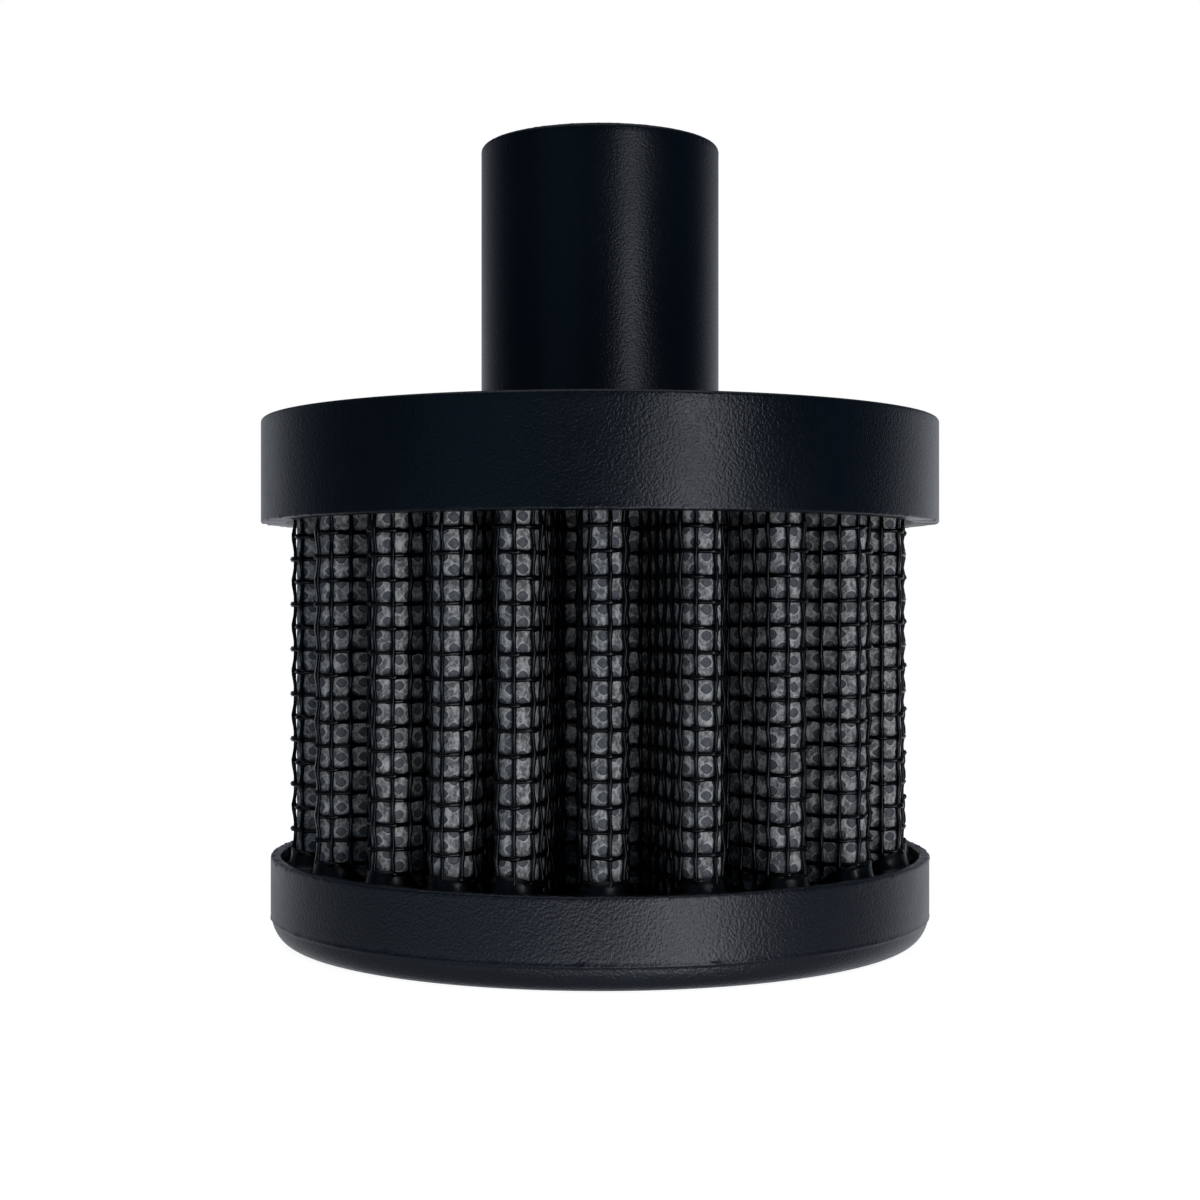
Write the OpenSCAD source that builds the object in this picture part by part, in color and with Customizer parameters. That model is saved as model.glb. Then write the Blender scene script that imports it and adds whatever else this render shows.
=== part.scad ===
// Slip-on pleated pneumatic muffler: a moulded neck cap, a pleated pack and a moulded base cup.
// Millimetres. +Z runs up the axis to the neck, the origin is the middle of the underside,
// and the front faces -Y. Angles round the axis are counted from the front, towards +X.

/* [Neck cap] */
// Outer diameter of the neck cap
cap_d = 50; // [49.6:0.1:52]
// Height of the neck cap's side
cap_h = 7.5; // [7:0.1:9]
// Outer diameter of the neck that the hose clamp grips
neck_d = 17.7; // [16:0.1:20]
// Bore that slips over the air tube
port_d = 12; // [11:0.1:13]
// Air hole below the bore, smaller, so that its ledge stops the tube
stop_d = 10.4; // [8:0.1:10.8]
// Length of the neck above the cap
neck_h = 20.5; // [14:0.5:30]
// Thickness of the cap's roof
roof_t = 3; // [2.5:0.1:3.5]

/* [Base cup] */
// Outer diameter of the base cup
base_d = 48.6; // [48.4:0.1:50]
// Height of the base cup
base_h = 6.2; // [5.5:0.1:8]
// Thickness of the cup's wall
base_wall = 0.75; // [0.6:0.05:0.8]
// Thickness of the cup's floor
floor_t = 1.4; // [1.2:0.1:1.5]

/* [Pleated pack] */
// Number of pleats
pleats = 22; // [21:1:24]
// Free height of the pleats between the two caps
pleat_view_h = 24.2; // [16:0.1:40]
// Diameter over the pleat tips
tip_d = 45.8; // [45.4:0.1:46]
// Outer radius of a fold at its tip
tip_fold_r = 1.7; // [1.6:0.05:1.75]
// Radius at which the inner folds are centred
root_r = 15; // [14.9:0.1:15.5]
// Outer radius of the valley between two pleats
root_fold_r = 0.3; // [0.25:0.05:0.35]

/* [Core] */
// Outer diameter of the perforated core tube
core_d = 26; // [24:0.2:26.4]
// Wall of the core tube and its end pieces
sheet_t = 0.5; // [0.4:0.05:0.6]
// Diameter of a perforation
hole_d = 3.2; // [2:0.1:3.4]
// Perforations in one ring
holes_round = 16; // [12:1:16]
// Rings of perforations
hole_rings = 6; // [4:1:6]

/* [Hidden] */
$fn = 96;

// Thickness of each layer of the pack, from the outside in
screen_t = 0.5;
scrim_t = 0.12;
felt_t = 0.25;
backing_t = 0.08;
inner_screen_t = 0.3;
felt_depth = screen_t + scrim_t;
backing_depth = felt_depth + felt_t;
inner_screen_depth = backing_depth + backing_t;
pack_t = inner_screen_depth + inner_screen_t;

// Heights
cap_z = base_h + pleat_view_h;
roof_top_z = cap_z + cap_h;
roof_z = roof_top_z - roof_t;
ledge_z = roof_top_z + 0.5;
top_z = roof_top_z + neck_h;
pack_z = floor_t + 1.6;
pack_top_z = roof_z - 1.3;
core_disc_z = floor_t + 0.5;
core_z = core_disc_z + sheet_t;
core_top_z = roof_z - sheet_t;
base_potting_top_z = base_h - 1;
neck_potting_z = cap_z + 0.8;

// Radii
cap_r = cap_d / 2;
neck_r = neck_d / 2;
port_r = port_d / 2;
stop_r = stop_d / 2;
base_r = base_d / 2;
cup_r = base_r - base_wall;
skirt_inner_r = tip_d / 2 + 0.3;
core_r = core_d / 2;
core_inner_r = core_r - sheet_t;
collar_r = core_inner_r - 0.05;
plate_hole_r = port_r + 0.6;
plate_r = core_r + 3;

// Edge roundings
cap_edge_r = 0.25;
skirt_edge_r = 0.15;
mouth_edge_r = 0.35;
neck_fillet_r = 0.4;
corner_w = 1.6;
corner_h = 2.3;
rim_edge_r = 0.2;
collar_h = 2;

// The folding machine's slow drift: [degrees, waves round the pack, phase in degrees]
fold_shift = 4.1;
fold_drift = [[1.7, 2, -151], [2.1, 3, -158], [1.0, 6, 98]];
fold_steps = 6;

// Seam, at the pleat opposite the front
seam_pleat = floor(pleats / 2);
tip_centre_r = tip_d / 2 - tip_fold_r;
clip_t = 0.3;
clip_play = 0.02;
clip_depth = 3.2;
clip_gap = 0.4;

// Point on a circle of radius r at angle a from the front
function at(r, a) = [r * sin(a), -r * cos(a)];

// Points of an arc in a lathe profile, from angle a0 to a1
function arc(c, r, a0, a1, steps = 6) =
    [for (k = [0:steps]) c + r * [cos(a0 + (a1 - a0) * k / steps), sin(a0 + (a1 - a0) * k / steps)]];

// Sum of the numbers of v from the one at i on
function total(v, i = 0) = i < len(v) ? v[i] + total(v, i + 1) : 0;

// Angle of pleat tip i, and of the valley after it
function tip_angle(i) = 360 * i / pleats + fold_shift
    + total([for (d = fold_drift) d[0] * cos(360 * d[1] * i / pleats - d[2])]);
function root_angle(i) = (tip_angle(i) + tip_angle(i + 1)) / 2;

// Direction, from the front, in which a flank faces: the flank runs straight between the fold
// circle at tip angle t and the one at valley angle v, touching both on opposite sides
function flank_side(t, v) = v > t ? 1 : -1;
function fold_gap(t, v) = at(root_r, v) - at(tip_centre_r, t);
function flank_angle(t, v) =
    let (g = fold_gap(t, v))
    atan2(g[1], g[0]) + 90 - flank_side(t, v) * acos((tip_fold_r + root_fold_r) / norm(g));

// The same angle, brought within half a turn of a
function near(x, a) = x - 360 * round((x - a) / 360);

// One fold of the pleated line at depth d below the outer surface: the tip's arc, then the valley's
function fold(i, d) =
    let (
        t = tip_angle(i),
        left = near(flank_angle(t, root_angle(i - 1)), t - 90),
        right = near(flank_angle(t, root_angle(i)), t + 90),
        next_t = tip_angle(i + 1),
        next_left = near(flank_angle(next_t, root_angle(i)), next_t - 90)
    )
    concat(
        [for (k = [0:fold_steps])
            at(tip_centre_r, t) + at(tip_fold_r - d, left + (right - left) * k / fold_steps)],
        [for (k = [0:fold_steps])
            at(root_r, root_angle(i)) - at(root_fold_r + d, right + (next_left - right) * k / fold_steps)]
    );

// Closed outline of the pleated line at depth d
function pleat_outline(d) = [for (i = [0:pleats - 1]) each fold(i, d)];

// Flat section of the pack between two depths, open at the seam, where the last fold is left out
module pleat_section(d0, d1) {
    difference() {
        polygon(pleat_outline(d0));
        polygon(pleat_outline(d1));
        rotate(tip_angle(seam_pleat) - 90)
            translate([tip_centre_r, -tip_fold_r - 0.1])
                square([tip_fold_r + 1, 2 * tip_fold_r + 0.2]);
    }
}

module pleat_layer(d0, d1) {
    translate([0, 0, pack_z])
        linear_extrude(pack_top_z - pack_z)
            pleat_section(d0, d1);
}

// Flat section of the U-shaped strip over the pack's free edges
module clip_section() {
    inner_w = 2 * (tip_fold_r + clip_play);
    web_r = tip_centre_r + clip_gap;
    rotate(tip_angle(seam_pleat) - 90)
        difference() {
            translate([web_r - clip_depth, -inner_w / 2 - clip_t])
                square([clip_depth + clip_t, inner_w + 2 * clip_t]);
            translate([web_r - clip_depth - 1, -inner_w / 2])
                square([clip_depth + 1, inner_w]);
        }
}

// What the potting closes round: the whole pack and the strip
module pack_slot() {
    pleat_section(0, pack_t);
    clip_section();
}

module disc(r, z0, z1, hole_r = 0) {
    translate([0, 0, z0])
        difference() {
            cylinder(r = r, h = z1 - z0);
            if (hole_r > 0)
                translate([0, 0, -1])
                    cylinder(r = hole_r, h = z1 - z0 + 2);
        }
}

module neck_cap() {
    outline = concat(
        [[stop_r, roof_z], [stop_r, ledge_z], [port_r, ledge_z]],
        arc([port_r + mouth_edge_r, top_z - mouth_edge_r], mouth_edge_r, 180, 90),
        arc([neck_r - mouth_edge_r, top_z - mouth_edge_r], mouth_edge_r, 90, 0),
        arc([neck_r + neck_fillet_r, roof_top_z + neck_fillet_r], neck_fillet_r, 180, 270),
        arc([cap_r - cap_edge_r, roof_top_z - cap_edge_r], cap_edge_r, 90, 0),
        arc([cap_r - skirt_edge_r, cap_z + skirt_edge_r], skirt_edge_r, 0, -90, 4),
        [[skirt_inner_r, cap_z], [skirt_inner_r, roof_z]]
    );
    color([0.05, 0.06, 0.08])
        rotate_extrude()
            polygon(outline);
}

module neck_plate() {
    color([0.6, 0.61, 0.63]) {
        difference() {
            union() {
                disc(plate_r, core_top_z, roof_z);
                disc(collar_r, core_top_z - collar_h, roof_z);
            }
            disc(plate_hole_r, core_top_z - collar_h - 1, roof_z + 1);
            disc(collar_r - sheet_t, core_top_z - collar_h - 1, core_top_z);
        }
    }
}

module neck_potting() {
    color([0.12, 0.12, 0.13])
        difference() {
            disc(skirt_inner_r, neck_potting_z, roof_z, core_r);
            disc(plate_r, core_top_z, roof_z + 1);
            translate([0, 0, neck_potting_z - 1])
                linear_extrude(pack_top_z - neck_potting_z + 1)
                    pack_slot();
        }
}

module outer_screen() {
    color([0.08, 0.08, 0.09])
        pleat_layer(0, screen_t);
}

module outer_scrim() {
    color([0.35, 0.35, 0.36])
        pleat_layer(screen_t, felt_depth);
}

module media_felt() {
    color([0.8, 0.8, 0.76])
        pleat_layer(felt_depth, backing_depth);
}

module inner_scrim() {
    color([0.9, 0.9, 0.88])
        pleat_layer(backing_depth, inner_screen_depth);
}

module inner_screen() {
    color([0.55, 0.56, 0.58])
        pleat_layer(inner_screen_depth, pack_t);
}

module seam_clip() {
    color([0.5, 0.5, 0.52])
        translate([0, 0, pack_z])
            linear_extrude(pack_top_z - pack_z)
                clip_section();
}

module core_tube() {
    ring_step = (cap_z - base_h) / hole_rings;
    color([0.65, 0.66, 0.68])
        difference() {
            disc(core_r, core_z, core_top_z, core_inner_r);
            for (ring = [0:hole_rings - 1], k = [0:holes_round - 1])
                rotate((k + (ring % 2) / 2) * 360 / holes_round)
                    translate([core_inner_r - 1, 0, base_h + (ring + 0.5) * ring_step])
                        rotate([0, 90, 0])
                            cylinder(d = hole_d, h = sheet_t + 2);
        }
}

module core_disc() {
    color([0.6, 0.61, 0.63])
        difference() {
            union() {
                disc(core_r, core_disc_z, core_z);
                disc(collar_r, core_disc_z, core_z + collar_h);
            }
            disc(collar_r - sheet_t, core_z, core_z + collar_h + 1);
        }
}

module base_potting() {
    color([0.12, 0.12, 0.13])
        difference() {
            disc(cup_r, floor_t, base_potting_top_z);
            disc(core_r, core_disc_z, base_potting_top_z + 1);
            translate([0, 0, pack_z])
                linear_extrude(base_potting_top_z - pack_z + 1)
                    pack_slot();
        }
}

module base_cap() {
    corner = [for (k = [0:8])
        [base_r - corner_w + corner_w * sin(90 * k / 8), corner_h - corner_h * cos(90 * k / 8)]];
    outline = concat(
        [[0, 0]],
        corner,
        arc([base_r - rim_edge_r, base_h - rim_edge_r], rim_edge_r, 0, 90, 4),
        [[cup_r, base_h], [cup_r, floor_t], [0, floor_t]]
    );
    color([0.09, 0.1, 0.12])
        rotate_extrude()
            polygon(outline);
}

neck_cap();
neck_plate();
neck_potting();
outer_screen();
outer_scrim();
media_felt();
inner_scrim();
inner_screen();
seam_clip();
core_tube();
core_disc();
base_potting();
base_cap();
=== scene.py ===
"""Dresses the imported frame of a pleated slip-on pneumatic muffler and sets it in a white studio.

The moulded caps are turned from profiles, the wire cloth is woven wire by wire along the folded
line of the pack, and the cloth behind it is one folded sheet. All sizes are in metres. Angles round
the axis are counted from the front towards the right.
"""

import logging
import math
from bisect import bisect_right
from dataclasses import dataclass, field
from enum import Enum
from typing import Callable, Iterable, Optional, Sequence

import bmesh
import bpy
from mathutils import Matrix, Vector, noise


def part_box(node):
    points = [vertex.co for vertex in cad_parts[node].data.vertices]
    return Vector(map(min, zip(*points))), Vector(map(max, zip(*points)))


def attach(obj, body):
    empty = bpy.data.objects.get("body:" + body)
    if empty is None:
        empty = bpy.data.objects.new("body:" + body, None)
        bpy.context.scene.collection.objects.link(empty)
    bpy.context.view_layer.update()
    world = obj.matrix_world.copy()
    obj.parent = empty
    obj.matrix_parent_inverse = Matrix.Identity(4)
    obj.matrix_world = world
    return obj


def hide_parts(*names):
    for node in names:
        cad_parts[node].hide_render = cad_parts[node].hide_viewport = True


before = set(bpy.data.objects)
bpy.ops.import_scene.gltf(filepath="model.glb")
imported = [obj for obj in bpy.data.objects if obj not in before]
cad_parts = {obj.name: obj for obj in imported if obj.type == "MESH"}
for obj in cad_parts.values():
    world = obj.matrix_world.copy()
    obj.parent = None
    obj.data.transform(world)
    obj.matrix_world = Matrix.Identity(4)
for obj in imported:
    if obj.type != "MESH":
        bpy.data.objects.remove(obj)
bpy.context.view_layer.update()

log = logging.getLogger("muffler")
MM = 0.001
BODY = "root"
MERGE = 0.002 * MM


class Slot(Enum):
    """The record's material slots."""

    MOULDING = "cap_moulding"
    WIRE = "coated_wire"
    CLOTH = "scrim_cloth"
    FELT = "felt"
    STEEL = "plated_steel"
    POTTING = "potting"


# ---------------------------------------------------------------------------------------------
# Mesh helpers


def show(name: str, data: bpy.types.Mesh) -> bpy.types.Object:
    """Puts a mesh into the scene.

    Args:
        name: The object's name.
        data: The mesh.

    Returns:
        The new object, at the origin.
    """
    piece = bpy.data.objects.new(name, data)
    bpy.context.scene.collection.objects.link(piece)
    return piece


def new_piece(name: str, mesh: bmesh.types.BMesh, smooth: bool = True) -> bpy.types.Object:
    """Turns a finished bmesh into an object of the scene.

    Args:
        name: The piece's name.
        mesh: The shape, which is freed here.
        smooth: Whether the faces are shaded smooth.

    Returns:
        The new object, at the origin.
    """
    data = bpy.data.meshes.new(name)
    mesh.to_mesh(data)
    mesh.free()
    if smooth:
        data.shade_smooth()
    return show(name, data)


def settle(piece: bpy.types.Object, slot: Slot, *nodes: str) -> bpy.types.Object:
    """Fixes a piece to the one body and hides the nodes that it replaces.

    Args:
        piece: The finished piece.
        slot: The record's slot that it takes its finish from; not used.
        *nodes: The nodes that it replaces, if any.

    Returns:
        The same piece.
    """
    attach(piece, BODY)
    if nodes:
        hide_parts(*nodes)
    log.info("%s: %d faces", piece.name, len(piece.data.polygons))
    return piece


def arc(centre: tuple, radii: tuple, start: float, end: float, steps: int) -> list[tuple]:
    """Points of an upright elliptical arc in a lathe profile.

    Args:
        centre: Its (radius, height).
        radii: Its half-width and half-height.
        start: First angle in degrees, from outward towards up.
        end: Last angle in degrees.
        steps: Number of steps between the two.

    Returns:
        The (radius, height) points, both ends included.
    """
    turns = [math.radians(start + (end - start) * k / steps) for k in range(steps + 1)]
    return [(centre[0] + radii[0] * math.cos(a), centre[1] + radii[1] * math.sin(a)) for a in turns]


def turned(profile: Sequence[tuple], closed: bool, steps: int) -> bmesh.types.BMesh:
    """Spins a profile round the axis.

    Args:
        profile: The (radius, height) points.
        closed: Whether the last point joins the first.
        steps: Steps round the axis.

    Returns:
        The turned shape, merged at the seam and the axis, facing outwards.
    """
    mesh = bmesh.new()
    verts = [mesh.verts.new((r, 0.0, z)) for r, z in profile]
    pairs = list(zip(verts, verts[1:])) + ([(verts[-1], verts[0])] if closed else [])
    edges = [mesh.edges.new(pair) for pair in pairs]
    bmesh.ops.spin(mesh, geom=verts + edges, cent=(0, 0, 0), axis=(0, 0, 1), dvec=(0, 0, 0),
                   angle=math.tau, steps=steps, use_merge=True, use_duplicate=False)
    bmesh.ops.remove_doubles(mesh, verts=mesh.verts[:], dist=MERGE)
    bmesh.ops.recalc_face_normals(mesh, faces=mesh.faces[:])
    return mesh


# ---------------------------------------------------------------------------------------------
# Finishes


class Nodes:
    """Adds nodes to one node tree and links them."""

    def __init__(self, tree: bpy.types.NodeTree) -> None:
        """Starts on an emptied tree."""
        self.tree = tree
        self.tree.nodes.clear()

    def add(self, kind: str, **settings: object) -> bpy.types.Node:
        """Adds a node.

        Args:
            kind: The node's type, without the ShaderNode that it starts with.
            **settings: The node's own settings.

        Returns:
            The node.
        """
        node = self.tree.nodes.new("ShaderNode" + kind)
        for name, value in settings.items():
            setattr(node, name, value)
        return node

    def put(self, socket: bpy.types.NodeSocket, value: object) -> None:
        """Links an output to a socket, or sets the socket's own value.

        Args:
            socket: The input socket.
            value: An output socket, a number, a vector or a colour.
        """
        if isinstance(value, bpy.types.NodeSocket):
            self.tree.links.new(value, socket)
        else:
            socket.default_value = value

    def fill(self, node: bpy.types.Node, **values: object) -> bpy.types.Node:
        """Sets or links a node's inputs.

        Args:
            node: The node.
            **values: The inputs' values, named with underscores for spaces.

        Returns:
            The same node.
        """
        for name, value in values.items():
            self.put(node.inputs[name.replace("_", " ")], value)
        return node

    def stretched(self, source: bpy.types.NodeSocket, scale: Sequence[float],
                  shift: Sequence[float] = (0, 0, 0)) -> bpy.types.NodeSocket:
        """Multiplies a coordinate by scale and then moves it by shift, axis by axis.

        Args:
            source: The coordinate.
            scale: What each axis is multiplied by.
            shift: What is added to each axis.

        Returns:
            The new coordinate.
        """
        node = self.fill(self.add("Mapping"), Vector=source, Scale=scale, Location=shift)
        return node.outputs["Vector"]

    def noise(self, where: bpy.types.NodeSocket, scale: float, detail: float = 2.0,
              rough: float = 0.5, output: str = "Fac") -> bpy.types.NodeSocket:
        """Adds noise at a coordinate.

        Args:
            where: The coordinate.
            scale: How closely its blotches follow each other.
            detail: How many finer layers it has.
            rough: How strong the finer layers are.
            output: Fac for a value from 0 to 1, or Color for three of them.

        Returns:
            The noise.
        """
        node = self.fill(self.add("TexNoise"), Vector=where, Scale=scale, Detail=detail, Roughness=rough)
        return node.outputs[output]

    def cells(self, where: bpy.types.NodeSocket, scale: float, smooth: float) -> bpy.types.NodeSocket:
        """Measures the distance to the nearest cell centre of a soft cell pattern.

        Args:
            where: The coordinate.
            scale: How closely the cells follow each other.
            smooth: How softly they meet.

        Returns:
            The distance.
        """
        node = self.add("TexVoronoi", feature="SMOOTH_F1")
        return self.fill(node, Vector=where, Scale=scale, Smoothness=smooth).outputs["Distance"]

    def math(self, kind: str, *values: object) -> bpy.types.NodeSocket:
        """Adds one Math node.

        Args:
            kind: The node's operation.
            *values: Its inputs, each a socket or a number.

        Returns:
            The result.
        """
        node = self.add("Math", operation=kind)
        for socket, value in zip(node.inputs, values):
            self.put(socket, value)
        return node.outputs["Value"]

    def ramp(self, value: bpy.types.NodeSocket, span: Sequence[float],
             ends: Sequence[float] = (0.0, 1.0)) -> bpy.types.NodeSocket:
        """Carries a value smoothly from one range to another.

        Args:
            value: The value to carry.
            span: Where the ramp starts and where it ends.
            ends: The results at its start and at its end.

        Returns:
            The carried value.
        """
        node = self.add("MapRange", interpolation_type="SMOOTHSTEP")
        self.fill(node, Value=value, From_Min=span[0], From_Max=span[1], To_Min=ends[0], To_Max=ends[1])
        return node.outputs["Result"]

    def mix(self, share: object, first: object, second: object) -> bpy.types.NodeSocket:
        """Mixes two colours.

        Args:
            share: The second colour's share, a socket or a number.
            first: The first colour, a socket or four numbers.
            second: The second colour.

        Returns:
            The mixed colour.
        """
        node = self.add("Mix", data_type="RGBA")
        sockets = {socket.identifier: socket for socket in node.inputs}
        for name, value in (("Factor_Float", share), ("A_Color", first), ("B_Color", second)):
            self.put(sockets[name], value)
        return next(socket for socket in node.outputs if socket.identifier == "Result_Color")

    def swap(self, share: bpy.types.NodeSocket, first: bpy.types.NodeSocket,
             second: bpy.types.NodeSocket) -> bpy.types.NodeSocket:
        """Mixes two shaders.

        Args:
            share: The second shader's share.
            first: The first shader.
            second: The second shader.

        Returns:
            The mixed shader.
        """
        node = self.add("MixShader")
        for socket, value in zip(node.inputs, (share, first, second)):
            self.put(socket, value)
        return node.outputs["Shader"]

    def bump(self, height: bpy.types.NodeSocket, distance: float, strength: float = 1.0,
             under: Optional[bpy.types.NodeSocket] = None) -> bpy.types.NodeSocket:
        """Bumps the surface.

        Args:
            height: The height, from 0 to 1.
            distance: How far 1 stands above 0.
            strength: How strongly the bump shows.
            under: A normal that is already bumped, which this one is added to.

        Returns:
            The bumped normal.
        """
        node = self.fill(self.add("Bump"), Height=height, Distance=distance, Strength=strength)
        if under is not None:
            self.put(node.inputs["Normal"], under)
        return node.outputs["Normal"]


class Shader(Nodes):
    """Builds one material's node tree, with a Principled shader at its end."""

    def __init__(self, name: str) -> None:
        """Starts a plain material.

        Args:
            name: The material's name.
        """
        self.material = bpy.data.materials.new(name)
        self.material.use_nodes = True
        super().__init__(self.material.node_tree)
        self.surface = self.add("BsdfPrincipled")
        self.output = self.fill(self.add("OutputMaterial"), Surface=self.surface.outputs["BSDF"])

    def set(self, **values: object) -> None:
        """Sets or links the Principled shader's sockets, named with underscores for spaces."""
        self.fill(self.surface, **values)

    def coords(self, scale: Sequence[float] = (1, 1, 1)) -> bpy.types.NodeSocket:
        """Object coordinates, stretched by scale."""
        return self.stretched(self.add("TexCoord").outputs["Object"], scale)


def grey(level: float, blue: float = 1.0) -> tuple[float, float, float, float]:
    """A grey as a shader colour, with its blue multiplied by blue and its green half as much."""
    return (level, level * (1 + (blue - 1) / 2), level * blue, 1.0)


@dataclass(frozen=True)
class MouldedRubber:
    """Satin black moulded polyurethane with a fine pebble skin."""

    name: str
    dark: tuple = (0.0004, 0.0024, 0.0052, 1.0)
    light: tuple = (0.0010, 0.0042, 0.0080, 1.0)
    roughness: float = 0.27
    shine: float = 0.5
    grain: float = 5200.0
    relief: float = 0.0095 * MM
    blotches: float = 90.0
    specks: float = 1500.0
    worn: tuple = (-0.03, 0.05)
    speckled: float = 0.08

    def make(self) -> bpy.types.Material:
        """Builds the material.

        Returns:
            The material.
        """
        s = Shader(self.name)
        where = s.coords()
        broad = s.noise(where, self.blotches, 3.0)
        fine = s.noise(where, self.specks)
        share = s.math("MULTIPLY_ADD", fine, 0.5, s.math("MULTIPLY", broad, 0.5))
        wear = s.ramp(broad, (0.35, 0.75), [self.roughness + change for change in self.worn])
        worms = s.ramp(s.noise(where, self.grain, 1.5), (0.34, 0.66))
        pits = s.ramp(s.cells(where, 0.8 * self.grain, 0.35), (0.05, 0.45))
        skin = s.bump(pits, 0.5 * self.relief, 1.0, s.bump(worms, self.relief))
        s.set(Base_Color=s.mix(share, self.dark, self.light), Normal=skin, Specular_IOR_Level=self.shine,
              Roughness=s.math("MULTIPLY_ADD", fine, self.speckled, wear))
        return s.material


@dataclass(frozen=True)
class CoatedWire:
    """Steel wire dipped in glossy black epoxy."""

    name: str = "coated_wire"
    colour: float = 0.0008
    roughness: tuple = (0.06, 0.22)
    shine: float = 0.28
    clouds: float = 900.0
    smears: float = 1400.0
    dimples: float = 2600.0
    relief: float = 0.02 * MM

    def make(self) -> bpy.types.Material:
        """Builds the material.

        Returns:
            The material.
        """
        s = Shader(self.name)
        where = s.coords()
        tone = s.mix(s.noise(where, self.clouds), grey(self.colour, 1.3), grey(2.4 * self.colour, 1.2))
        s.set(Base_Color=tone, Specular_IOR_Level=self.shine,
              Roughness=s.ramp(s.noise(where, self.smears), (0.3, 0.7), self.roughness),
              Normal=s.bump(s.noise(where, self.dimples), self.relief, 0.5))
        return s.material


@dataclass(frozen=True)
class BondedCloth:
    """Grey non-woven cloth, pressed together at small diamond points."""

    name: str = "bonded_cloth"
    layer: str = "cloth"
    dark: tuple = (0.13, 0.13, 0.125, 1.0)
    light: tuple = (0.74, 0.72, 0.67, 1.0)
    point: float = 0.11
    pitch: float = 1.705 * MM
    start: tuple = (0.34 * MM, 20.77 * MM)
    wander: float = 0.16 * MM
    wander_scale: float = 700.0
    half_width: float = 0.42 * MM
    half_height: float = 0.32 * MM
    roundness: float = 1.5
    fibres: float = 4600.0
    strands: float = 2300.0
    tufts: float = 1100.0
    contrast: tuple = (0.38, 0.68)
    dent: float = 0.09 * MM
    nap: float = 0.07 * MM

    def make(self) -> bpy.types.Material:
        """Builds the material. The cloth's UV map is in metres along the folded line and up it.

        Returns:
            The material.
        """
        s = Shader(self.name)
        sheet = s.add("UVMap", uv_map=self.layer).outputs["UV"]
        bonds = self.bonds(s, sheet)
        pressed = s.ramp(bonds, (0.85, 1.15), (1.0, 0.0))
        rim = s.math("MULTIPLY", s.ramp(bonds, (1.05, 1.3)), s.ramp(bonds, (1.3, 1.8), (1.0, 0.0)))
        fibres = s.noise(sheet, self.fibres, 3.0, 0.8)
        strands = s.noise(s.stretched(sheet, (1.7, 0.7, 1)), self.strands, 3.0, 0.75)
        tufts = s.math("SUBTRACT", s.noise(sheet, self.tufts), 0.5)
        tone = s.math("ADD", s.math("MULTIPLY", fibres, 0.55), s.math("MULTIPLY", strands, 0.45))
        tone = s.math("MULTIPLY_ADD", rim, 0.08, s.math("MULTIPLY_ADD", tufts, 0.55, tone))
        body = s.mix(s.ramp(tone, self.contrast), self.dark, self.light)
        spot = s.mix(s.ramp(fibres, (0.3, 0.7)), grey(0.7 * self.point, 1.1), grey(1.5 * self.point, 1.1))
        s.set(Base_Color=s.mix(pressed, body, spot), Sheen_Weight=0.15, Specular_IOR_Level=0.35,
              Roughness=s.math("MULTIPLY_ADD", pressed, -0.25, 0.72),
              Normal=s.bump(tone, self.nap, 0.8, s.bump(pressed, -self.dent, 0.9)))
        return s.material

    def bonds(self, s: Shader, sheet: bpy.types.NodeSocket) -> bpy.types.NodeSocket:
        """Measures how far a spot is from the nearest pressed point, of two staggered lattices.

        Args:
            s: The shader being built.
            sheet: The cloth's own coordinate.

        Returns:
            The distance, which is 1 at the edge of a pressed point.
        """
        wander = s.noise(sheet, self.wander_scale, 1.0, output="Color")
        bent = s.add("VectorMath", operation="MULTIPLY_ADD")
        for socket, value in zip(bent.inputs, (wander, (self.wander,) * 3, sheet)):
            s.put(socket, value)
        shift = [0.5 - (start + self.wander / 2) / self.pitch for start in self.start]
        lattice = s.stretched(bent.outputs["Vector"], (1 / self.pitch,) * 3, (*shift, 0.0))
        split = s.fill(s.add("SeparateXYZ"), Vector=lattice)
        return s.math("MINIMUM", self.reach(s, split, 0.0), self.reach(s, split, 0.5))

    def reach(self, s: Shader, split: bpy.types.Node, shift: float) -> bpy.types.NodeSocket:
        """Measures how far a spot is from the nearest pressed point of one lattice.

        Args:
            s: The shader being built.
            split: The node that splits the lattice coordinate.
            shift: The lattice's shift, in pitches.

        Returns:
            The distance, which is 1 at the edge of the pressed point.
        """
        whole = 100.0
        parts = []
        for axis, half in (("X", self.half_width), ("Y", self.half_height)):
            moved = s.math("FRACT", s.math("ADD", split.outputs[axis], whole + shift))
            away = s.math("ABSOLUTE", s.math("SUBTRACT", moved, 0.5))
            parts.append(s.math("POWER", s.math("MULTIPLY", away, self.pitch / half), self.roundness))
        return s.math("ADD", *parts)


@dataclass(frozen=True)
class CastPotting:
    """Matt black compound, poured and set, with a slightly rippled skin."""

    name: str = "cast_potting"
    painted_trough_shade: float = 0.0006
    painted_crest_light: float = 0.0022
    roughness: tuple = (0.22, 0.42)
    ripples: float = 500.0
    smears: float = 1200.0
    relief: float = 0.2 * MM

    def make(self) -> bpy.types.Material:
        """Builds the material.

        Returns:
            The material.
        """
        s = Shader(self.name)
        where = s.coords()
        ripples = s.noise(where, self.ripples, 3.0)
        # Painted shade and light: the colour follows the same ripple noise as the bump, darker in the troughs
        # and lighter on the crests.
        s.set(Base_Color=s.mix(ripples, grey(self.painted_trough_shade, 1.6), grey(self.painted_crest_light, 1.5)),
              Roughness=s.ramp(s.noise(where, self.smears), (0.3, 0.7), self.roughness),
              Normal=s.bump(ripples, self.relief, 0.6), Specular_IOR_Level=0.35)
        return s.material


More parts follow.
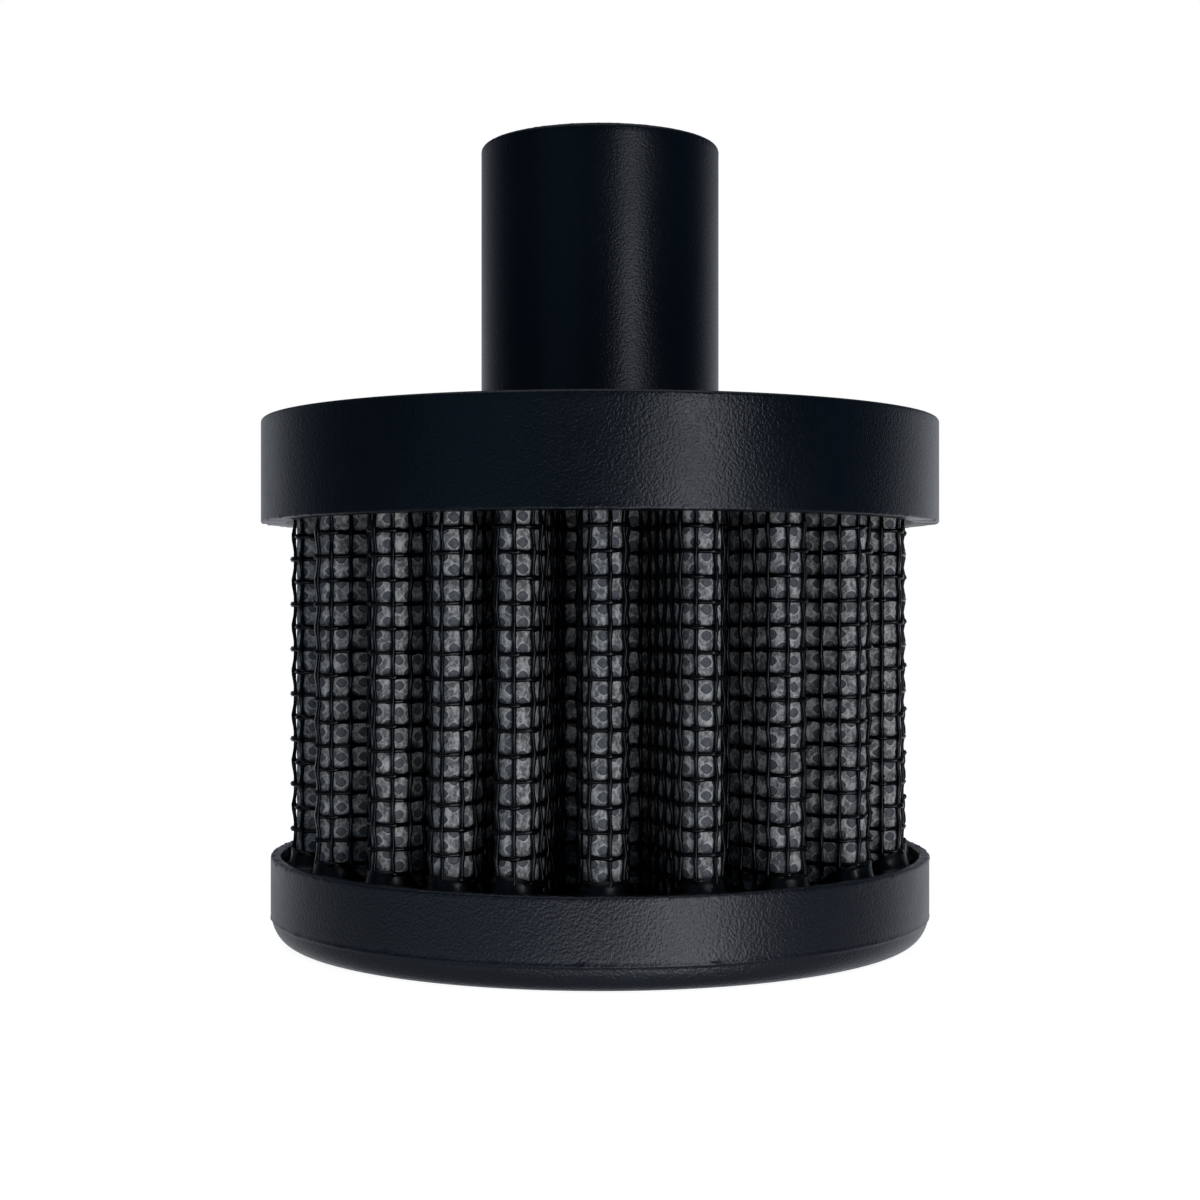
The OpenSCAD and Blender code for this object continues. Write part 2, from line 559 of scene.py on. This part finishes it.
@dataclass(frozen=True)
class NeedledFelt:
    """Off-white fibre felt."""

    name: str = "needled_felt"
    dark: tuple = (0.42, 0.41, 0.37, 1.0)
    light: tuple = (0.82, 0.8, 0.75, 1.0)
    roughness: tuple = (0.85, 0.98)
    fibres: float = 4200.0
    smears: float = 900.0
    relief: float = 0.08 * MM

    def make(self) -> bpy.types.Material:
        """Builds the material.

        Returns:
            The material.
        """
        s = Shader(self.name)
        fibres = s.noise(s.coords((1, 1, 0.4)), self.fibres, 4.0, 0.7)
        s.set(Base_Color=s.mix(fibres, self.dark, self.light),
              Roughness=s.ramp(s.noise(s.coords(), self.smears), (0.3, 0.7), self.roughness),
              Normal=s.bump(fibres, self.relief, 0.8))
        return s.material


@dataclass(frozen=True)
class PlatedSteel:
    """Zinc-plated sheet steel with faint rolling lines."""

    name: str = "plated_steel"
    shade: float = 0.5
    roughness: tuple = (0.22, 0.4)
    blooms: float = 160.0
    lines: float = 260.0
    line_squeeze: float = 14.0
    relief: float = 0.012 * MM

    def make(self) -> bpy.types.Material:
        """Builds the material.

        Returns:
            The material.
        """
        s = Shader(self.name)
        lines = s.noise(s.coords((1, 1, self.line_squeeze)), self.lines, 4.0, 0.65)
        bloom = s.noise(s.coords(), self.blooms, 3.0)
        gloss = s.ramp(lines, (0.3, 0.7), self.roughness)
        s.set(Base_Color=s.mix(bloom, grey(0.8 * self.shade, 1.06), grey(1.15 * self.shade, 1.02)),
              Roughness=s.math("MULTIPLY_ADD", bloom, 0.2, gloss), Metallic=1.0,
              Normal=s.bump(lines, self.relief, 0.5))
        return s.material


# ---------------------------------------------------------------------------------------------
# The folded line


def drift(along: float, height: float, scale: Sequence[float]) -> float:
    """A smooth random level at a spot of the pack, for scales along and up it and the pattern's place."""
    return noise.noise(Vector((along * scale[0], height * scale[1], scale[2])))


def around(radius: float, angle: float) -> Vector:
    """A flat point at an angle, in radians, counted from the front towards the right."""
    return Vector((radius * math.sin(angle), -radius * math.cos(angle)))


@dataclass(frozen=True)
class Stretch:
    """One straight or round stretch of the folded line."""

    start: float
    length: float
    foot: Vector
    run: Vector
    radius: float
    first: float
    last: float

    def at(self, along: float) -> tuple[Vector, Vector]:
        """Finds a spot of the stretch.

        Args:
            along: The distance along the whole line.

        Returns:
            The flat point and the outward direction there.
        """
        share = (along - self.start) / self.length
        facing = around(1.0, self.first + (self.last - self.first) * share)
        return self.foot + self.run * share + facing * self.radius, facing


@dataclass
class PleatLine:
    """The line that the pack follows, seen from above, from one side of the seam to the other."""

    pleats: int = 22
    tip_radius: float = 22.9 * MM
    tip_fold: float = 1.7 * MM
    root_radius: float = 15.0 * MM
    root_fold: float = 0.3 * MM
    depth: float = 0.28 * MM
    fold_shift: float = 4.1
    fold_drift: tuple = ((1.7, 2, -151.0), (2.1, 3, -158.0), (1.0, 6, 98.0))
    end_gap: float = 0.0001 * MM
    stretches: list[Stretch] = field(default_factory=list)
    starts: list[float] = field(default_factory=list)

    def __post_init__(self) -> None:
        """Lays the stretches end to end."""
        self.tip_centre = self.tip_radius - self.tip_fold
        seam = self.pleats // 2
        for i in range(seam, seam + self.pleats):
            self.lay_fold(i, i + 1 < seam + self.pleats)

    @property
    def length(self) -> float:
        """The whole line's length."""
        return self.stretches[-1].start + self.stretches[-1].length

    def tip_angle(self, i: int) -> float:
        """Finds where a pleat's tip stands, with the drift of the folding.

        Args:
            i: The pleat's number.

        Returns:
            The angle round the axis, in radians.
        """
        drift = sum(size * math.cos(math.tau * waves * i / self.pleats - math.radians(phase))
                    for size, waves, phase in self.fold_drift)
        return math.radians(360 * i / self.pleats + self.fold_shift + drift)

    def flank_angle(self, tip: float, root: float) -> float:
        """The way that the flank between a tip and a root faces.

        Args:
            tip: The tip's angle.
            root: The angle of the root beside it.

        Returns:
            The angle, within a quarter turn or so of the tip's own.
        """
        gap = around(self.root_radius, root) - around(self.tip_centre, tip)
        side = 1 if root > tip else -1
        angle = math.atan2(gap.y, gap.x) + math.pi / 2
        angle -= side * math.acos((self.tip_fold + self.root_fold) / gap.length)
        goal = tip + side * math.pi / 2
        return angle - math.tau * round((angle - goal) / math.tau)

    def lay_fold(self, i: int, with_tip: bool) -> None:
        """Adds the flank after a tip, the valley, the next flank and the next tip.

        Args:
            i: The first tip's number.
            with_tip: Whether the next tip is added too.
        """
        tip, after = self.tip_angle(i), self.tip_angle(i + 1)
        root = (tip + after) / 2
        down, up = self.flank_angle(tip, root), self.flank_angle(after, root)
        tip_r, root_r = self.tip_fold - self.depth, self.root_fold + self.depth
        valley = around(self.root_radius, root)
        crest, next_crest = around(self.tip_centre, tip), around(self.tip_centre, after)
        top, low = crest + around(tip_r, down), valley - around(root_r, down)
        self.lay_straight(top, low, down)
        self.lay_round(valley, -root_r, down, up)
        low, top = valley - around(root_r, up), next_crest + around(tip_r, up)
        self.lay_straight(low, top, up)
        if with_tip:
            after_root = (after + self.tip_angle(i + 2)) / 2
            self.lay_round(next_crest, tip_r, up, self.flank_angle(after, after_root))

    def lay_straight(self, start: Vector, end: Vector, facing: float) -> None:
        """Adds a straight stretch that faces one way."""
        self.lay(start, end - start, 0.0, facing, facing, (end - start).length)

    def lay_round(self, centre: Vector, radius: float, first: float, last: float) -> None:
        """Adds a round stretch; a negative radius bends it the other way."""
        self.lay(centre, Vector((0.0, 0.0)), radius, first, last, abs(radius * (last - first)))

    def lay(self, foot: Vector, run: Vector, radius: float, first: float, last: float, length: float) -> None:
        """Adds a stretch after the ones that are there.

        Args:
            foot: Where a straight stretch starts, or a round one's centre.
            run: From a straight stretch's start to its end.
            radius: A round stretch's radius.
            first: The way that its start faces.
            last: The way that its end faces.
            length: Its length.
        """
        start = self.length if self.stretches else 0.0
        self.stretches.append(Stretch(start, length, foot, run, radius, first, last))
        self.starts.append(start)

    def inside(self, along: float) -> float:
        """The same distance along the line, held a hair inside its ends."""
        return min(max(along, self.end_gap), self.length - self.end_gap)

    def at(self, along: float) -> tuple[Vector, Vector]:
        """Finds a spot of the line.

        Args:
            along: The distance along the line.

        Returns:
            The flat point and the outward direction there.
        """
        along = self.inside(along)
        index = min(max(bisect_right(self.starts, along) - 1, 0), len(self.stretches) - 1)
        return self.stretches[index].at(along)


# ---------------------------------------------------------------------------------------------
# The pack


@dataclass
class Weave:
    """The wire cloth's mesh: where its wires run and how they pass over each other."""

    line: PleatLine
    hoop_pitch: float = 1.626 * MM
    upright_pitch: float = 1.353 * MM
    upright_start: float = 1.0 * MM
    first_hoop_z: float = 5.11 * MM
    skew: float = 0.008
    hoops: int = 17
    foot_z: float = 3.9 * MM
    head_z: float = 31.5 * MM
    hoop_crimp: float = 0.13 * MM
    upright_crimp: float = 0.08 * MM
    wire_r: float = 0.14 * MM
    coat_r: float = 0.23 * MM
    sway_size: float = 0.10 * MM
    sway_scale: tuple = (260.0, 90.0, 3.7)
    lean_size: float = 0.05 * MM
    lean_scale: tuple = (420.0, 110.0, 9.1)
    steps: int = 4

    def __post_init__(self) -> None:
        """Fits a whole number of uprights into the line."""
        self.uprights = round(self.line.length / self.upright_pitch)
        self.upright_pitch = self.line.length / self.uprights

    def sway(self, along: float, height: float) -> float:
        """How far the hoops wander up or down at a spot."""
        flat, _ = self.line.at(along)
        return self.skew * flat.x + self.sway_size * drift(along, height, self.sway_scale)

    def lean(self, along: float, height: float) -> float:
        """How far the uprights wander sideways at a spot."""
        return self.lean_size * drift(along, height, self.lean_scale)

    def place(self, along: float, height: float, out: float) -> Vector:
        """Finds a point of the pack.

        Args:
            along: The distance along the folded line.
            height: The height.
            out: How far the point stands outside the wires' middle surface.

        Returns:
            The point.
        """
        flat, facing = self.line.at(along)
        flat = flat + facing * out
        return Vector((flat.x, flat.y, height))

    def thickness(self, turn: float) -> float:
        """The wire's radius, thicker where the coating fills the corners at a crossing."""
        near = 1 - 2 * abs((turn + 0.5) % 1 - 0.5)
        return self.wire_r + (self.coat_r - self.wire_r) * near ** 2

    def hoop(self, row: int) -> list[tuple[Vector, float]]:
        """Lays one hoop wire along the whole line.

        Args:
            row: The hoop's number, from the foot up.

        Returns:
            Its points, each with the wire's radius.
        """
        height = self.first_hoop_z + row * self.hoop_pitch
        points = []
        for k in range(self.steps // 2, (self.uprights + 1) * self.steps):
            turn = k / self.steps
            along = self.line.inside((turn - 1) * self.upright_pitch + self.upright_start)
            out = self.hoop_crimp * math.cos(math.pi * (turn + row))
            spot = self.place(along, height + self.sway(along, height), out)
            points.append((spot, self.thickness(turn)))
        return points

    def upright(self, number: int) -> list[tuple[Vector, float]]:
        """Lays one upright wire from the foot to the head.

        Args:
            number: The wire's number along the line, from 1.

        Returns:
            Its points, each with the wire's radius.
        """
        along = (number - 1) * self.upright_pitch + self.upright_start
        count = round((self.head_z - self.foot_z) / self.hoop_pitch * self.steps)
        points = []
        for k in range(count + 1):
            height = self.foot_z + (self.head_z - self.foot_z) * k / count
            row = (height - self.sway(along, height) - self.first_hoop_z) / self.hoop_pitch
            out = -self.upright_crimp * math.cos(math.pi * (row + number))
            spot = self.place(along + self.lean(along, height), height, out)
            points.append((spot, self.thickness(row)))
        return points


def wires(name: str, paths: Iterable[list[tuple[Vector, float]]], sides: int = 1) -> bpy.types.Object:
    """Draws wires along their points as one mesh.

    Args:
        name: The piece's name.
        paths: For each wire, its points and its radius at each.
        sides: The bevel resolution of a wire's round.

    Returns:
        The piece.
    """
    curve = bpy.data.curves.new(name, "CURVE")
    curve.dimensions = "3D"
    curve.bevel_depth = 1.0
    curve.bevel_resolution = sides
    curve.use_fill_caps = True
    for path in paths:
        spline = curve.splines.new("POLY")
        spline.points.add(len(path) - 1)
        spline.points.foreach_set("co", [c for point, _ in path for c in (*point, 1.0)])
        spline.points.foreach_set("radius", [radius for _, radius in path])
    drawn = bpy.data.objects.new(name + "_curve", curve)
    bpy.context.scene.collection.objects.link(drawn)
    shown = drawn.evaluated_get(bpy.context.evaluated_depsgraph_get())
    data = bpy.data.meshes.new_from_object(shown)
    data.name = name
    bpy.data.objects.remove(drawn)
    bpy.data.curves.remove(curve)
    data.shade_smooth()
    return show(name, data)


@dataclass
class WireCloth:
    """The outer screen, woven wire by wire."""

    weave: Weave
    finish: CoatedWire = field(default_factory=CoatedWire)

    def build(self) -> None:
        """Makes the hoops and the uprights, each in two pieces."""
        material = self.finish.make()
        w = self.weave
        half_rows, half_count = w.hoops // 2, w.uprights // 2
        for name, paths in (
            ("hoop_wires_low", (w.hoop(r) for r in range(half_rows))),
            ("hoop_wires_high", (w.hoop(r) for r in range(half_rows, w.hoops))),
            ("upright_wires_left", (w.upright(n) for n in range(1, half_count))),
            ("upright_wires_right", (w.upright(n) for n in range(half_count, w.uprights + 1))),
        ):
            piece = wires(name, paths)
            piece.data.materials.append(material)
            settle(piece, Slot.WIRE, "outer_screen")


@dataclass
class FoldedCloth:
    """The bonded cloth behind the wires, one folded sheet that swells a little in each mesh."""

    weave: Weave
    finish: BondedCloth = field(default_factory=BondedCloth)
    behind: float = 0.17 * MM
    swell: float = 0.08 * MM
    foot_z: float = 3.6 * MM
    head_z: float = 31.6 * MM

    def build(self) -> None:
        """Folds a flat grid along the line."""
        w = self.weave
        across = w.uprights * w.steps
        tall = self.head_z - self.foot_z
        up = round(tall / w.hoop_pitch * w.steps)
        mesh = bmesh.new()
        bmesh.ops.create_grid(mesh, x_segments=across, y_segments=up, size=0.5)
        layer = mesh.loops.layers.uv.new(self.finish.layer)
        flat = {v: ((v.co.x + 0.5) * w.line.length, self.foot_z + (v.co.y + 0.5) * tall) for v in mesh.verts}
        for face in mesh.faces:
            for loop in face.loops:
                loop[layer].uv = flat[loop.vert]
        for v, (along, height) in flat.items():
            along = w.line.inside(along)
            column = (along - w.upright_start) / w.upright_pitch
            row = (height - w.sway(along, height) - w.first_hoop_z) / w.hoop_pitch
            out = self.swell * abs(math.sin(math.pi * column) * math.sin(math.pi * row)) - self.behind
            v.co = w.place(along, height, out)
        piece = new_piece("bonded_cloth", mesh)
        piece.data.materials.append(self.finish.make())
        settle(piece, Slot.CLOTH, "outer_scrim")
        w.line.length


# ---------------------------------------------------------------------------------------------
# Mouldings


@dataclass(frozen=True)
class Flash:
    """How uneven the mould leaves one edge, with small nibs here and there."""

    wander: float
    nib: float
    scale: float = 3600.0
    nib_level: float = 0.25

    def apply(self, mesh: bmesh.types.BMesh, on_edge: Callable[[Vector], bool]) -> None:
        """Moves the edge's vertices in or out.

        Args:
            mesh: The shape.
            on_edge: Says whether a point is on the edge.
        """
        mesh.normal_update()
        moves = {}
        for v in mesh.verts:
            if on_edge(v.co):
                level = noise.noise(v.co * self.scale)
                moves[v] = v.normal * (self.wander * level + self.nib * max(0.0, level - self.nib_level))
        for v, move in moves.items():
            v.co += move


@dataclass
class NeckCap:
    """The moulded cap with its slip-on neck."""

    steps: int = 720
    port_r: float = 6.0 * MM
    stop_r: float = 5.2 * MM
    neck_r: float = 8.85 * MM
    skirt_inner_r: float = 23.2 * MM
    roof_t: float = 3.0 * MM
    cap_h: float = 7.5 * MM
    ledge_h: float = 0.5 * MM
    edge: float = 0.25 * MM
    lip: float = 0.12 * MM
    foot: float = 0.4 * MM
    mouth_edge: float = 0.35 * MM
    lip_flash: Flash = Flash(wander=0.015 * MM, nib=0.12 * MM)
    mouth_flash: Flash = Flash(wander=0.010 * MM, nib=0.03 * MM)
    finish: MouldedRubber = MouldedRubber(name="cap_rubber")
    neck_finish: MouldedRubber = MouldedRubber(
        name="neck_rubber", shine=0.39, roughness=0.25, grain=5800.0, relief=0.006 * MM)

    def build(self) -> None:
        """Turns the moulding."""
        low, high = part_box("neck_cap")
        cap_r, under, mouth = high.x, low.z, high.z
        top = under + self.cap_h
        roof, ledge = top - self.roof_t, top + self.ledge_h
        e, m, f, lip = self.edge, self.mouth_edge, self.foot, self.lip
        profile = [(self.stop_r, roof), (self.stop_r, ledge)]
        profile += [(self.port_r, ledge), (self.port_r, mouth - 3 * m)]
        profile += arc((self.port_r + m, mouth - m), (m, m), 180, 90, 4)
        profile += arc((self.neck_r - m, mouth - m), (m, m), 90, 0, 4)
        profile += [(self.neck_r, mouth - 2 * m), (self.neck_r, mouth - 3 * m)]
        profile += arc((self.neck_r + f, top + f), (f, f), 180, 270, 4)
        profile += arc((cap_r - e, top - e), (e, e), 90, 0, 5)
        profile += [(cap_r, top - 3 * e), (cap_r, under + 4 * lip), (cap_r, under + 2 * lip)]
        profile += arc((cap_r - lip, under + lip), (lip, lip), 0, -90, 3)
        profile += [(self.skirt_inner_r, under), (self.skirt_inner_r, roof)]
        mesh = turned(profile, closed=True, steps=self.steps)
        self.lip_flash.apply(mesh, lambda co: co.z < under + 1.5 * lip and co.xy.length > cap_r - 2 * lip)
        self.mouth_flash.apply(mesh, lambda co: co.z > mouth - 1.5 * m)
        piece = new_piece("neck_cap_moulding", mesh)
        piece.data.materials.append(self.finish.make())
        piece.data.materials.append(self.neck_finish.make())
        for face in piece.data.polygons:
            face.material_index = int(face.center.z > top + 0.5 * f)
        settle(piece, Slot.MOULDING, "neck_cap")


@dataclass
class BaseCup:
    """The moulded cup that the pack stands in."""

    steps: int = 720
    wall: float = 0.75 * MM
    floor_t: float = 1.4 * MM
    corner_w: float = 1.6 * MM
    corner_h: float = 2.3 * MM
    rim_edge: float = 0.2 * MM
    ridge_z: float = 1.8 * MM
    ridge: tuple = ((-0.01 * MM, -0.12 * MM), (0.06 * MM, -0.06 * MM), (0.072 * MM, 0.0),
                    (0.036 * MM, 0.08 * MM))
    ridge_gap: float = 0.15 * MM
    ridge_reach: float = 0.1 * MM
    rim_flash: Flash = Flash(wander=0.02 * MM, nib=0.12 * MM)
    ridge_flash: Flash = Flash(wander=0.03 * MM, nib=0.10 * MM, scale=900.0)
    # The cup's base colours are lighter and more purple-blue than the cap's. This is partly the cup's own
    # tint and partly painted light, standing in for the light that the floor bounces up onto the cup.
    finish: MouldedRubber = MouldedRubber(
        name="cup_rubber_with_painted_bounce", dark=(0.0012, 0.0024, 0.0062, 1.0), light=(0.0022, 0.0044, 0.0095, 1.0),
        roughness=0.31, shine=0.72, relief=0.012 * MM)

    def build(self) -> None:
        """Turns the moulding."""
        _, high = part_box("base_cap")
        r, rim = high.x, high.z
        e = self.rim_edge
        profile = [(0.0, 0.0)]
        profile += self.corner(r)
        profile += [(r, self.corner_h + 2 * e), (r, rim - 4 * e), (r, rim - 2 * e)]
        profile += arc((r - e, rim - e), (e, e), 0, 90, 4)
        profile += arc((r - self.wall + e, rim - e), (e, e), 90, 180, 4)
        profile += [(r - self.wall, self.floor_t), (0.0, self.floor_t)]
        mesh = turned(profile, closed=False, steps=self.steps)
        self.rim_flash.apply(mesh, lambda co: co.z > rim - 1.5 * e)
        self.ridge_flash.apply(
            mesh, lambda co: abs(co.z - self.ridge_z) < self.ridge_reach and co.xy.length > 0.9 * r)
        piece = new_piece("base_cup_moulding", mesh)
        piece.data.materials.append(self.finish.make())
        settle(piece, Slot.MOULDING, "base_cap")

    def corner(self, r: float) -> list[tuple]:
        """The outline of the soft lower corner, with the thin ridge that the mould's joint leaves.

        Args:
            r: The cup's outer radius.

        Returns:
            The points, from the underside up.
        """
        curve = arc((r - self.corner_w, self.corner_h), (self.corner_w, self.corner_h), -90, 0, 18)
        below = [p for p in curve if p[1] < self.ridge_z - self.ridge_gap]
        above = [p for p in curve if p[1] > self.ridge_z + self.ridge_gap]
        (r_low, _), (r_high, _) = below[-1], above[0]
        middle = (r_low + r_high) / 2
        ridge = [(middle + out, self.ridge_z + up) for out, up in self.ridge]
        return below + ridge + above


@dataclass
class FootPotting:
    """The compound that has climbed a little way up the folds before it set."""

    line: PleatLine
    tip_z: float = 7.1 * MM
    valley_z: float = 5.6 * MM
    skirt: float = 0.85 * MM
    grip: float = 0.22 * MM
    foot_z: float = 5.0 * MM
    step: float = 0.25 * MM
    climb_from: float = 0.88
    climb_power: float = 0.7
    ripple: float = 0.3 * MM
    ripple_scale: tuple = (420.0, 0.0, 5.5)
    spare: float = 0.08 * MM
    crest: float = 0.12 * MM
    inner_drop: float = 0.2 * MM
    curve_steps: int = 5
    sag: float = 0.75

    def build(self, finish: bpy.types.Material) -> None:
        """Sweeps the climbing edge along the folded line.

        Args:
            finish: The compound's material.
        """
        mesh = bmesh.new()
        count = round(self.line.length / self.step)
        rings = [[mesh.verts.new(point) for point in self.section(self.line.length * k / count)]
                 for k in range(count + 1)]
        edges = []
        for ring in rings:
            edges.append([mesh.edges.new(pair) for pair in zip(ring, ring[1:] + ring[:1])])
        for one, other in zip(edges, edges[1:]):
            bmesh.ops.bridge_loops(mesh, edges=one + other)
        for end in (rings[0], rings[-1]):
            bmesh.ops.contextual_create(mesh, geom=end)
        bmesh.ops.recalc_face_normals(mesh, faces=mesh.faces[:])
        piece = new_piece("potting_meniscus", mesh)
        piece.data.materials.append(finish)
        settle(piece, Slot.POTTING)

    def section(self, along: float) -> list[Vector]:
        """The closed outline of the climbing edge at one place.

        Args:
            along: The distance along the folded line.

        Returns:
            Its points, from outside at the foot, over the top and down inside.
        """
        along = self.line.inside(along)
        flat, facing = self.line.at(along)
        tip_r = self.line.tip_radius
        reach = max(0.0, (flat.length - self.climb_from * tip_r) / ((1 - self.climb_from) * tip_r))
        share = min(1.0, reach) ** self.climb_power
        wave = self.ripple * drift(along, 0.0, self.ripple_scale)
        top = self.valley_z + (self.tip_z - self.valley_z) * share + wave
        width = self.grip + self.spare + (self.skirt - self.grip) * share
        points = [(width, self.foot_z)]
        for k in range(self.curve_steps + 1):
            turn = math.pi / 2 * k / self.curve_steps
            points.append((width - (width - self.grip) * math.sin(turn),
                           top - (top - self.foot_z) * self.sag * math.cos(turn)))
        points += [(self.grip - self.crest, top), (-self.grip, top - self.inner_drop),
                   (-self.grip, self.foot_z)]
        return [Vector((*(flat + facing * out), z)) for out, z in points]


@dataclass
class InnerParts:
    """The pieces that stay as they are and only get their finishes."""

    def build(self, potting: bpy.types.Material) -> None:
        """Gives each remaining node its material.

        Args:
            potting: The compound's material.
        """
        steel, clip = PlatedSteel().make(), PlatedSteel(name="clip_steel", shade=0.4).make()
        felt = NeedledFelt().make()
        backing = NeedledFelt(name="backing_cloth").make()
        inner_wire = CoatedWire(name="inner_wire", colour=0.01).make()
        for node, material in (
            ("neck_plate", steel), ("core_tube", steel), ("core_disc", steel), ("seam_clip", clip),
            ("neck_potting", potting), ("base_potting", potting), ("media_felt", felt),
            ("inner_scrim", backing), ("inner_screen", inner_wire),
        ):
            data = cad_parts[node].data
            data.materials.clear()
            data.materials.append(material)
            log.info("%s: dressed", node)


# ---------------------------------------------------------------------------------------------
# Studio


@dataclass(frozen=True)
class SoftBox:
    """One rectangular soft light that looks at the part."""

    name: str
    azimuth: float
    height: float
    away: float
    size: tuple
    glow: float
    tint: tuple = (1.0, 1.0, 1.0)
    target: tuple = (0.0, 0.0, 30 * MM)

    def hang(self) -> None:
        """Hangs the light. Its face is as bright as white at a glow of 1."""
        data = bpy.data.lights.new(self.name, "AREA")
        data.shape = "RECTANGLE"
        data.size, data.size_y = self.size
        data.energy = self.glow * math.pi * self.size[0] * self.size[1]
        data.color = self.tint
        box = bpy.data.objects.new(self.name, data)
        box.location = (*around(self.away, math.radians(self.azimuth)), self.height)
        gaze = Vector(self.target) - Vector(box.location)
        box.rotation_euler = gaze.to_track_quat("-Z", "Y").to_euler()
        bpy.context.scene.collection.objects.link(box)


COOL = (0.87, 0.91, 1.0)
SOFT_BOXES = (
    SoftBox("key_box", azimuth=30, height=-0.08, away=0.60, size=(0.19, 0.66), glow=2.95, tint=COOL),
    SoftBox("low_fill", azimuth=5, height=-0.27, away=0.60, size=(0.55, 0.24), glow=1.6, tint=COOL),
    SoftBox("low_left", azimuth=-45, height=-0.25, away=0.60, size=(0.60, 0.24), glow=0.20,
            tint=(0.75, 0.85, 1.0)),
    SoftBox("left_fill", azimuth=-38, height=0.04, away=0.60, size=(0.42, 0.50), glow=0.10,
            tint=(0.40, 0.78, 1.0)),
    SoftBox("left_rim", azimuth=-122, height=0.03, away=0.60, size=(0.32, 0.60), glow=0.08,
            tint=(0.9, 0.95, 1.0)),
    SoftBox("top_box", azimuth=0, height=0.80, away=0.05, size=(1.0, 1.0), glow=0.45),
)


@dataclass
class Studio:
    """The camera, the lights, the white floor and the white surroundings."""

    eye_z: float = 24.75 * MM
    distance: float = 148.0 * MM
    lens: float = 59.37
    sensor: float = 36.0
    clip: tuple = (0.01, 50.0)
    floor_r: float = 0.14
    floor_sides: int = 96
    floor_glow: float = 0.93
    floor_echo: float = 0.12
    dim_side: tuple = (0.030, 0.048, 0.075, 1.0)
    bright_side: tuple = (0.62, 0.65, 0.70, 1.0)
    bright_way: tuple = (0.14, 0.99, 0.0)
    brighten: tuple = (0.35, 0.85)
    fall: tuple = (-0.05, 0.40)
    overhead: float = 0.1

    def camera(self) -> None:
        """Puts the camera level with the pack, straight in front."""
        data = bpy.data.cameras.new("camera")
        data.lens = self.lens
        data.sensor_width = self.sensor
        data.clip_start, data.clip_end = self.clip
        eye = bpy.data.objects.new("camera", data)
        eye.location = (0.0, -self.distance, self.eye_z)
        eye.rotation_euler = (math.pi / 2, 0.0, 0.0)
        bpy.context.scene.collection.objects.link(eye)
        bpy.context.scene.camera = eye

    def floor(self) -> None:
        """Lays the white floor, which the part's dark mouldings hardly mirror."""
        mesh = bmesh.new()
        bmesh.ops.create_circle(mesh, cap_ends=True, segments=self.floor_sides, radius=self.floor_r)
        floor = new_piece("floor", mesh, smooth=False)
        s = Shader("floor_white")
        s.set(Base_Color=(0.9, 0.9, 0.9, 1.0), Roughness=0.9, Emission_Color=(1.0, 1.0, 1.0, 1.0),
              Emission_Strength=self.floor_glow)
        seen = s.math("MAXIMUM", s.add("LightPath").outputs["Is Camera Ray"], self.floor_echo)
        clear = s.add("BsdfTransparent").outputs["BSDF"]
        s.fill(s.output, Surface=s.swap(seen, clear, s.surface.outputs["BSDF"]))
        floor.data.materials.append(s.material)

    def surroundings(self) -> None:
        """Makes the room: white to the eye, and dim towards the front and overhead for what it lights."""
        world = bpy.data.worlds.new("surroundings")
        bpy.context.scene.world = world
        world.use_nodes = True
        sky = Nodes(world.node_tree)
        way = sky.add("TexCoord").outputs["Generated"]
        facing = sky.add("VectorMath", operation="DOT_PRODUCT")
        sky.put(facing.inputs[0], way)
        sky.put(facing.inputs[1], self.bright_way)
        height = sky.fill(sky.add("SeparateXYZ"), Vector=way).outputs["Z"]
        bright = sky.math("MULTIPLY", sky.ramp(facing.outputs["Value"], self.brighten),
                          sky.ramp(height, self.fall, (1.0, self.overhead)))
        glow = sky.mix(bright, self.dim_side, self.bright_side)
        room = sky.fill(sky.add("Background"), Color=glow).outputs["Background"]
        white = sky.fill(sky.add("Background"), Color=(1.0, 1.0, 1.0, 1.0)).outputs["Background"]
        seen = sky.add("LightPath").outputs["Is Camera Ray"]
        sky.fill(sky.add("OutputWorld"), Surface=sky.swap(seen, room, white))

    def build(self) -> None:
        """Sets the whole studio up."""
        bpy.context.scene.view_settings.view_transform = "Standard"
        self.camera()
        self.floor()
        self.surroundings()
        for box in SOFT_BOXES:
            box.hang()


def main() -> None:
    """Builds the studio and every piece in order."""
    logging.basicConfig(level=logging.INFO, format="%(name)s: %(message)s")
    Studio().build()
    weave = Weave(PleatLine())
    NeckCap().build()
    BaseCup().build()
    WireCloth(weave).build()
    FoldedCloth(weave).build()
    potting = CastPotting().make()
    FootPotting(weave.line).build(potting)
    InnerParts().build(potting)


if __name__ == "__main__":
    main()
